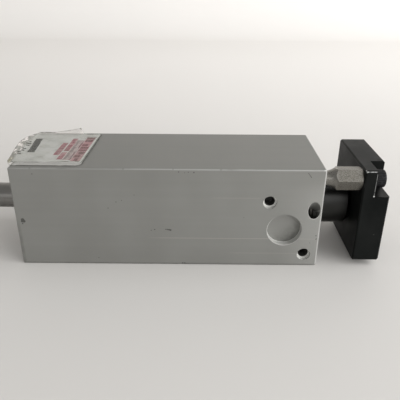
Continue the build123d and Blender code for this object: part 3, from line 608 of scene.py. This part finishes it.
def ink_finish(name, colour, cover):
    """Printed ink, worn through in places; cover is how much of the label it hides."""
    s = Surface(name, roughness=0.55)
    fade = s.noise(1100, detail=3, roughness=0.65)
    lighter = tuple(c + (0.4 - c) * 0.12 for c in colour)
    s.set("Base Color", s.blend(s.band(fade, 0.44, 0.66), colour, lighter))
    s.set("Alpha", s.band(fade, 0.54, 0.72, cover, 0.45 * cover))
    s.set_bump(fade, 0.00001, 0.2)
    return s.material


def grime_finish(name, light, dark, least):
    """Broken dirt line; least is how much of the sheet its thinnest places hide."""
    s = Surface(name, roughness=0.7)
    clumps = s.noise(420, detail=3, roughness=0.6)
    s.set("Base Color", s.blend(s.band(clumps, 0.4, 0.6), light, dark))
    s.set("Alpha", s.band(clumps, 0.38, 0.58, least, 0.95))
    s.set_bump(clumps, 0.00002, 0.3)
    return s.material


def stage_finish(near_colour, far_colour):
    """Pale floor, with painted light that makes it paler away from the camera, and a faint cloud."""
    s = Surface("stage_pale", roughness=0.6)
    # Painted light: the floor is painted paler away from the camera.
    colour = s.blend(s.band(s.axes()[1], -0.15, 0.6), near_colour, far_colour)
    darker = s.blend(0.03, colour, (0.0, 0.0, 0.0))
    s.set("Base Color", s.blend(s.noise(3), darker, colour))
    return s.material


FINISHES = {
    "block_aluminium": block_finish(),
    "gland_aluminium": turned_metal("gland_turned", (0.42, 0.42, 0.41), 0.34, metallic=0.9),
    "bearing_bronze": bronze_finish(),
    "seal_rubber": rubber_finish("nitrile_black", (0.022, 0.022, 0.022)),
    "wiper_rubber": rubber_finish("wiper_black", (0.030, 0.031, 0.034), 0.42),
    "spring_wire": turned_metal("wire_oiled", (0.13, 0.125, 0.115), 0.42),
    "bumper_urethane": rubber_finish("urethane_amber", (0.42, 0.25, 0.06), 0.38),
    "label_print": label_finish(),
    "label_film": film_finish(),
    "dark_rod_steel": dark_rod_finish(),
    "ground_rod_steel": turned_metal("rod_ground", (0.215, 0.21, 0.20), 0.32),
    "piston_aluminium": turned_metal("piston_machined", (0.6, 0.6, 0.6), 0.3),
    "wear_ring_plastic": rubber_finish("wear_ring_brown", (0.10, 0.075, 0.05), 0.5),
    "plate_black": plate_finish(),
    "screw_black": screw_finish(),
    "pin_steel": pin_finish(),
}


# ---- mesh building ------------------------------------------------------------------------
def new_piece(name, points, faces, slot, body, smooth=True, material=None):
    """A mesh from points in metres that rides on a body, in its slot's finish unless one is given."""
    mesh = bpy.data.meshes.new(name)
    mesh.from_pydata([tuple(p) for p in points], [], faces)
    mesh.validate()
    if smooth:
        mesh.polygons.foreach_set("use_smooth", [True] * len(mesh.polygons))
    piece = bpy.data.objects.new(name, mesh)
    bpy.context.scene.collection.objects.link(piece)
    piece.data.materials.append(material or FINISHES[slot])
    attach(piece, body)
    return piece


def grid_faces(rows, columns, base=0):
    """Quads of a grid whose points run along each row in turn, starting at point number base."""
    faces = []
    for j in range(rows):
        for i in range(columns):
            a = base + j * (columns + 1) + i
            faces.append((a, a + 1, a + columns + 2, a + columns + 1))
    return faces


def share(value, low, high):
    """How far value lies from low to high, from 0 to 1."""
    return min(1.0, max(0.0, (value - low) / (high - low)))


# ---- the label and its film ---------------------------------------------------------------
def label_height(x, y):
    """How far the label stands above the block's top face: flat, then curled up past the end."""
    across = share(y, LABEL_LOW.y, LABEL_HIGH.y)
    lift = 0.35 + 1.5 * math.sin(math.pi * across * 0.66)
    past = max(0.0, (REAR_X + 0.0012 - x) / 0.006)
    ripple = 0.00005 * math.sin(x * 900 + y * 260) * math.sin(y * 380)
    rippled = share(REAR_X + 0.012 - x, 0.0, 0.01)
    return LABEL_SEAT + lift * MM * past ** 1.4 + ripple * rippled


def left_edge(y):
    """The sheets' free edge bulges out past the block's end, most at two thirds of its depth."""
    across = share(y, LABEL_LOW.y, LABEL_HIGH.y)
    corner = share(y, FILM_FRONT, FILM_FRONT + FRONT_CORNER)
    bulge = (2.3 + 2.0 * math.sin(math.pi * across ** 1.3)) * MM
    return REAR_X - corner * bulge * (1.0 - 0.85 * across ** 6)


def skewed(x, y):
    """The sheets' lines drift along X with Y."""
    return x + SKEW * y


def film_height(x, y):
    """The film lies on the label and its margin; one part of its back edge has come up."""
    margin = share(LABEL_LOW.y - y, 0.0, 0.0015)
    base = label_height(x, y) + FILM_SEAT - FILM_DROP * margin
    along = (x - (REAR_X - 0.001)) / FLAP_LENGTH
    back = max(0.0, y - (FILM_BACK - FLAP_WIDTH)) / FLAP_WIDTH
    if 0.0 < along < FLAP_CLOSE:
        rise = max(FLAP_RISE * min(1.0, along) ** 1.5, FLAP_ROOT_RISE * min(1.0, along / FLAP_ROOT_END))
        if along > 1.0:
            rise *= (FLAP_CLOSE - along) / (FLAP_CLOSE - 1.0)
        base += rise * back ** 1.4
    return base


def sheet_grid(right, front, back, corner, columns, rows):
    """Rows of points from the free edge to the right edge, closer at front and back, corners rounded."""
    grid = []
    for j in range(rows + 1):
        turn = math.pi * j / rows
        y = front + (back - front) * (1 - math.cos(turn)) / 2
        gap = min(y - front, back - y)
        inset = 0.0
        if gap < corner:
            inset = corner - math.sqrt(max(0.0, corner ** 2 - (corner - gap) ** 2))
        low = left_edge(y) + 0.4 * inset
        high = skewed(right, y) - inset
        grid.append([(low + (high - low) * i / columns, y) for i in range(columns + 1)])
    return grid


def sheet_piece(name, grid, height, thickness, slot):
    rows, columns = len(grid) - 1, len(grid[0]) - 1
    points = [(x, y, TOP_Z + height(x, y)) for row in grid for x, y in row]
    piece = new_piece(name, points, grid_faces(rows, columns), slot, "housing")
    solid = piece.modifiers.new("thickness", "SOLIDIFY")
    solid.thickness = thickness
    solid.offset = 1.0
    return piece


def build_label():
    grid = sheet_grid(LABEL_RIGHT, LABEL_LOW.y, LABEL_HIGH.y, LABEL_CORNER, 60, 60)
    piece = sheet_piece("label_sheet", grid, label_height, LABEL_THICKNESS, "label_print")
    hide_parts("label")


def build_film():
    grid = sheet_grid(FILM_RIGHT, FILM_FRONT, FILM_BACK, FILM_CORNER, 96, 72)
    piece = sheet_piece("label_clear_film", grid, film_height, FILM_THICKNESS, "label_film")
    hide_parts("label_film")


# ---- the label's print --------------------------------------------------------------------
# Label millimetres: x from the block's rear end, y from its front face.
def label_place(x_mm, y_mm):
    """Label millimetres as row coordinates."""
    y = FRONT_Y + y_mm * MM
    return skewed(REAR_X + x_mm * MM, y), y


def print_patch(points, faces, x_low, x_high, y_low, y_high, lift):
    """Adds one inked patch that follows the label's surface; its limits are label millimetres."""
    columns = max(1, math.ceil((x_high - x_low) / PATCH_STEP))
    rows = max(1, math.ceil((y_high - y_low) / PATCH_STEP))
    faces.extend(grid_faces(rows, columns, len(points)))
    for j in range(rows + 1):
        for i in range(columns + 1):
            x, y = label_place(x_low + (x_high - x_low) * i / columns, y_low + (y_high - y_low) * j / rows)
            points.append((x, y, TOP_Z + label_height(x, y) + lift))


def build_print(name, ink, patches, lift):
    points, faces = [], []
    for patch in patches:
        print_patch(points, faces, *patch, lift)
    new_piece(name, points, faces, "label_print", "housing", smooth=False, material=ink)


def block_row(pick, x_low, x_high, y_low, y_high, block, gap, word, ragged=0.28, lean=0.0):
    """A generic row of blocks across the label: ragged, with wider gaps between words, leaning along X."""
    patches = []
    y = y_low
    left = pick.randint(2, word)
    trim = (x_high - x_low) * ragged
    while y < y_high:
        length = block * pick.uniform(0.7, 1.3)
        drift = lean * (y - y_low)
        high = x_high + drift - pick.choice((0.0, 0.0, trim))
        low = x_low + drift + pick.choice((0.0, 0.0, trim))
        patches.append((low, high, y, min(y + length, y_high)))
        y += length + gap
        left -= 1
        if left == 0:
            y += 2.2 * gap
            left = pick.randint(2, word)
    return patches


def build_label_prints():
    """Generic rows of blocks: red at the label's right end, dark at its left end."""
    pick = random.Random(5)
    tint = ink_finish("red_tint", (0.44, 0.22, 0.235), 0.75)
    wash = ink_finish("pink_wash", (0.46, 0.32, 0.31), 0.50)
    red = ink_finish("red_ink", (0.110, 0.010, 0.018), 1.0)
    faded = ink_finish("faded_red_ink", (0.20, 0.035, 0.050), 1.0)
    grey = ink_finish("grey_ink", (0.13, 0.10, 0.095), 0.85)
    dark = ink_finish("dark_ink", (0.012, 0.012, 0.009), 1.0)
    behind_rows = [
        (26.9, 31.4, 8.2, 42.3),
        (20.1, 22.8, 21.5, 40.6),
        (19.9, 22.6, 10.2, 20.0),
        (16.6, 19.5, 16.2, 33.8),
    ]
    build_print("label_red_tint", tint, behind_rows, TINT_LIFT)
    build_print("label_pink_wash", wash, [(22.9, 26.8, 9.6, 37.8)], TINT_LIFT)
    bold = block_row(pick, 27.2, 31.2, 8.6, 42.0, 2.9, 1.1, 9)
    bold += [(26.0, 26.5, 9.4, 20.4), (26.1, 26.7, 25.6, 34.8)]
    build_print("label_bold_row", red, bold, INK_LIFT)
    rows = block_row(pick, 20.4, 22.4, 21.8, 40.4, 2.2, 0.9, 6)
    rows += block_row(pick, 20.2, 22.4, 10.4, 19.8, 1.8, 1.0, 4)
    rows += block_row(pick, 16.9, 19.2, 16.4, 33.6, 2.2, 0.9, 6)
    build_print("label_faded_rows", faded, rows, INK_LIFT)
    small = block_row(pick, 23.5, 24.6, 10.4, 36.2, 1.1, 0.55, 5)
    small += [(26.4, 31.8, 42.6, 43.4), (23.2, 26.4, 7.4, 8.2), (29.2, 31.4, 7.6, 8.4)]
    build_print("label_small_row", grey, small, INK_LIFT)
    bars = block_row(pick, 2.9, 6.5, 19.6, 40.0, 1.5, 0.10, 30, ragged=0.06, lean=-0.115)
    bars += block_row(pick, -1.6, 0.9, 16.6, 35.6, 1.5, 1.1, 5)
    build_print("label_dark_rows", dark, bars, INK_LIFT)


# ---- dirt lines on the label --------------------------------------------------------------
def build_ribbon(name, material, path, width, sheet_height, lift):
    """A narrow dirt line that follows a path of label millimetres over one of the sheets."""
    points = []
    places = [Vector(label_place(*p)) for p in path]
    for i, place in enumerate(places):
        ahead = places[min(i + 1, len(places) - 1)] - places[max(i - 1, 0)]
        side = Vector((-ahead.y, ahead.x)).normalized() * width / 2
        for edge in (place - side, place + side):
            points.append((edge.x, edge.y, TOP_Z + sheet_height(edge.x, edge.y) + lift))
    faces = grid_faces(len(places) - 1, 1)
    new_piece(name, points, faces, "label_film", "housing", smooth=False, material=material)


def line_points(a, b, count):
    return [(a[0] + (b[0] - a[0]) * i / count, a[1] + (b[1] - a[1]) * i / count) for i in range(count + 1)]


def arc_points(centre, radius, start, end, count):
    angles = [math.radians(start + (end - start) * i / count) for i in range(count + 1)]
    return [(centre[0] + radius * math.cos(t), centre[1] + radius * math.sin(t)) for t in angles]


def build_dirt_lines():
    """Grime caught along the edges of the film and of the label under it, in label millimetres."""
    grime_and_shade = grime_finish("edge_shade_and_grime", (0.10, 0.105, 0.075), (0.035, 0.037, 0.030), 0.30)
    faint = grime_finish("faint_grime", (0.34, 0.33, 0.28), (0.20, 0.195, 0.165), 0.20)
    right = (FILM_RIGHT - REAR_X) / MM - 0.15
    front = (FILM_FRONT - FRONT_Y) / MM + 0.15
    back = (FILM_BACK - FRONT_Y) / MM - 0.12
    corner = FILM_CORNER / MM
    at_front = (label_height, FRONT_LINE_LIFT)
    at_back = (label_height, BACK_LINE_LIFT)
    on_film = (film_height, FILM_LINE_LIFT)
    around = line_points((0.6, front), (right - corner, front), 40)
    around += arc_points((right - corner, front + corner), corner, -90, 0, 12)[1:]
    around += line_points((right, front + corner), (right, back - 1.0), 60)[1:]
    build_ribbon("film_edge_grime", grime_and_shade, around, 0.00045, *on_film)
    straight_lines = (
        # name, finish, start, end, steps, width, then the sheet's height and the lift above it
        ("label_front_grime", grime_and_shade, (0.2, 6.5), (13.0, 6.6), 40, 0.00050, at_front),
        ("label_front_line", faint, (13.0, 6.6), (31.6, 8.0), 60, 0.00034, at_front),
        ("label_back_grime", grime_and_shade, (25.2, back - 0.1), (33.0, back - 0.1), 30, 0.0011, at_back),
        ("label_back_line", faint, (9.0, back - 0.4), (25.2, back - 0.4), 60, 0.00045, at_back),
        ("flap_root_grime", grime_and_shade, (0.3, back - 0.3), (8.5, back - 0.2), 40, 0.0009, on_film),
        ("flap_edge", faint, (8.5, back), (22.4, back), 60, 0.00030, on_film),
        ("flap_corner", grime_and_shade, (21.8, back - 0.1), (22.7, back - 0.1), 8, 0.0006, on_film),
    )
    for name, material, start, end, steps, width, seat in straight_lines:
        build_ribbon(name, material, line_points(start, end, steps), width, *seat)


# ---- the cap screw ------------------------------------------------------------------------
def hexagon_radius(angle, across_flats):
    sixth = math.pi / 3
    return across_flats / 2 / math.cos((angle % sixth) - sixth / 2)


def screw_rings(segments, knurl):
    """The screw's profile from its tip to the socket's floor: place along X, and radius at segment k."""
    start, top = SCREW_LOW.x, SCREW_HIGH.x
    seat = top - SCREW_HEAD_HEIGHT
    head_r = SCREW_HEAD_D / 2
    tip_chamfer = 0.0006
    floor_cone = 0.0007

    def plain(radius):
        return lambda k: radius

    def knurled(k):
        return head_r - knurl[k % len(knurl)]

    def socket(k):
        return hexagon_radius(2 * math.pi * k / segments, SCREW_KEY)

    def socket_mouth(k):
        return socket(k) + 0.0002

    return [
        (start, plain(0.0)),
        (start, plain(SCREW_SHANK_R - tip_chamfer)),
        (start + tip_chamfer, plain(SCREW_SHANK_R)),
        (seat, plain(SCREW_SHANK_R)),
        (seat, plain(head_r - 0.0003)),
        (seat + 0.0003, knurled),
        (top - 0.0009, knurled),
        (top - 0.0007, plain(head_r - 0.00015)),
        (top - 0.0004, plain(head_r - 0.00016)),
        (top - 0.00012, plain(head_r - 0.00035)),
        (top, plain(head_r - 0.0007)),
        (top, socket_mouth),
        (top - 0.0002, socket),
        (top - SCREW_SOCKET_DEPTH, socket),
        (top - SCREW_SOCKET_DEPTH - floor_cone, plain(0.0)),
    ]


def build_cap_screw():
    """Socket head cap screw along X with a knurled head; the node's box gives its place."""
    y = (SCREW_LOW.y + SCREW_HIGH.y) / 2
    z = (SCREW_LOW.z + SCREW_HIGH.z) / 2
    knurl = (0.0, 0.00011, 0.00011, 0.0)        # depths over one ridge of the knurling
    segments = SCREW_RIDGES * len(knurl)
    rings = screw_rings(segments, knurl)
    points = []
    for x, radius in rings:
        for k in range(segments):
            a = 2 * math.pi * k / segments
            r = radius(k)
            points.append((x, y + r * math.cos(a), z + r * math.sin(a)))
    faces = []
    for j in range(len(rings) - 1):
        for k in range(segments):
            a = j * segments + k
            b = j * segments + (k + 1) % segments
            faces.append((a, b, b + segments, a + segments))
    piece = new_piece("notch_cap_screw", points, faces, "screw_black", "carriage", smooth=False)
    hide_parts("guide_pin_screw")


# ---- threads in the side holes ------------------------------------------------------------
def build_side_thread(name, rim, bottom):
    """Helical ridge on the wall of a tapped hole, from its spot face down to bottom."""
    x, z = rim[:2]
    per_turn = 48
    top = SPOT_DEPTH + 0.0001
    steps = int((bottom - top) / THREAD_PITCH * per_turn)
    half = THREAD_PITCH * 0.42
    foot, crest = TAPPED_R + THREAD_SINK, TAPPED_R - THREAD_DEPTH
    profile = ((foot, -half), (crest, 0.0), (foot, half))
    points = []
    for i in range(steps + 1):
        a = 2 * math.pi * i / per_turn
        y = FRONT_Y + top + THREAD_PITCH * i / per_turn
        for r, off in profile:
            points.append((x + r * math.cos(a), y + off, z + r * math.sin(a)))
    faces = grid_faces(steps, len(profile) - 1)
    new_piece(name, points, faces, "block_aluminium", "housing")


# ---- stage --------------------------------------------------------------------------------
def build_stage():
    """Pale floor that turns up into a pale wall behind the object."""
    front, depth, cove, height, half_width = -1.6, 0.85, 0.10, 1.6, 2.2
    bends = 16
    outline = [(front, 0.0), (depth - cove, 0.0)]
    for i in range(1, bends + 1):
        a = math.pi / 2 * i / bends
        outline.append((depth - cove + cove * math.sin(a), cove - cove * math.cos(a)))
    outline.append((depth, height))
    points = [(x, y, z) for y, z in outline for x in (-half_width, half_width)]
    mesh = bpy.data.meshes.new("stage_floor")
    mesh.from_pydata(points, [], grid_faces(len(outline) - 1, 1))
    mesh.polygons.foreach_set("use_smooth", [True] * len(mesh.polygons))
    floor = bpy.data.objects.new("stage_floor", mesh)
    floor.data.materials.append(stage_finish((0.625, 0.612, 0.592), (0.90, 0.88, 0.855)))
    bpy.context.scene.collection.objects.link(floor)


WORLD_COLOUR = (1.0, 0.985, 0.965, 1.0)
WORLD_STRENGTH = 0.455
LIGHT_TARGET = (0, 0, 0.02)
LIGHTS = (
    # name, place, size and watts
    ("window", (0.75, -0.80, 1.0), (1.3, 1.3), 4.1),
    ("side_right", (1.1, -0.1, 0.75), (0.9, 0.9), 8.7),
    ("low_right", (1.15, -0.95, 0.35), (0.7, 0.7), 11.8),
    ("low_front", (0.1, -1.3, 0.45), (1.6, 0.6), 3.0),
)


def area_light(name, place, size, power):
    data = bpy.data.lights.new(name, "AREA")
    data.shape = "RECTANGLE"
    data.size, data.size_y = size
    data.energy = power
    light = bpy.data.objects.new(name, data)
    light.location = place
    aim = Vector(LIGHT_TARGET) - Vector(place)
    light.rotation_mode = "QUATERNION"
    light.rotation_quaternion = aim.to_track_quat("-Z", "Y")
    bpy.context.scene.collection.objects.link(light)


def build_lights():
    world = bpy.data.worlds.new("soft_room")
    bpy.context.scene.world = world
    world.use_nodes = True
    background = world.node_tree.nodes["Background"]
    background.inputs["Color"].default_value = WORLD_COLOUR
    background.inputs["Strength"].default_value = WORLD_STRENGTH
    for name, place, size, power in LIGHTS:
        area_light(name, place, size, power)


def build_camera():
    data = bpy.data.cameras.new("camera")
    data.sensor_width = SENSOR
    data.lens = LENS
    data.clip_start, data.clip_end = 0.01, 20.0
    camera = bpy.data.objects.new("camera", data)
    yaw = Matrix.Rotation(math.radians(CAMERA_YAW), 4, "Z")
    pitch = Matrix.Rotation(math.radians(90 + CAMERA_PITCH), 4, "X")
    roll = Matrix.Rotation(math.radians(CAMERA_ROLL), 4, "Z")
    camera.matrix_world = Matrix.Translation(Vector(CAMERA_MM) * MM) @ yaw @ pitch @ roll
    bpy.context.scene.collection.objects.link(camera)
    bpy.context.scene.camera = camera


# ---- putting it together ------------------------------------------------------------------
def finish_cad_nodes():
    for part in frame["record"]["subparts"]:
        piece = frame["nodes"][part["node"]]
        piece.data.materials.clear()
        piece.data.materials.append(FINISHES[part["material_slot"]])


build_camera()
finish_cad_nodes()
build_label()
build_film()
build_label_prints()
build_dirt_lines()
build_cap_screw()
build_side_thread("upper_hole_thread", UPPER_SPOT, UPPER_THREAD_END)
build_side_thread("lower_hole_thread", LOWER_SPOT, LOWER_THREAD_END)
build_stage()
build_lights()
bpy.context.scene.view_settings.view_transform = "Standard"
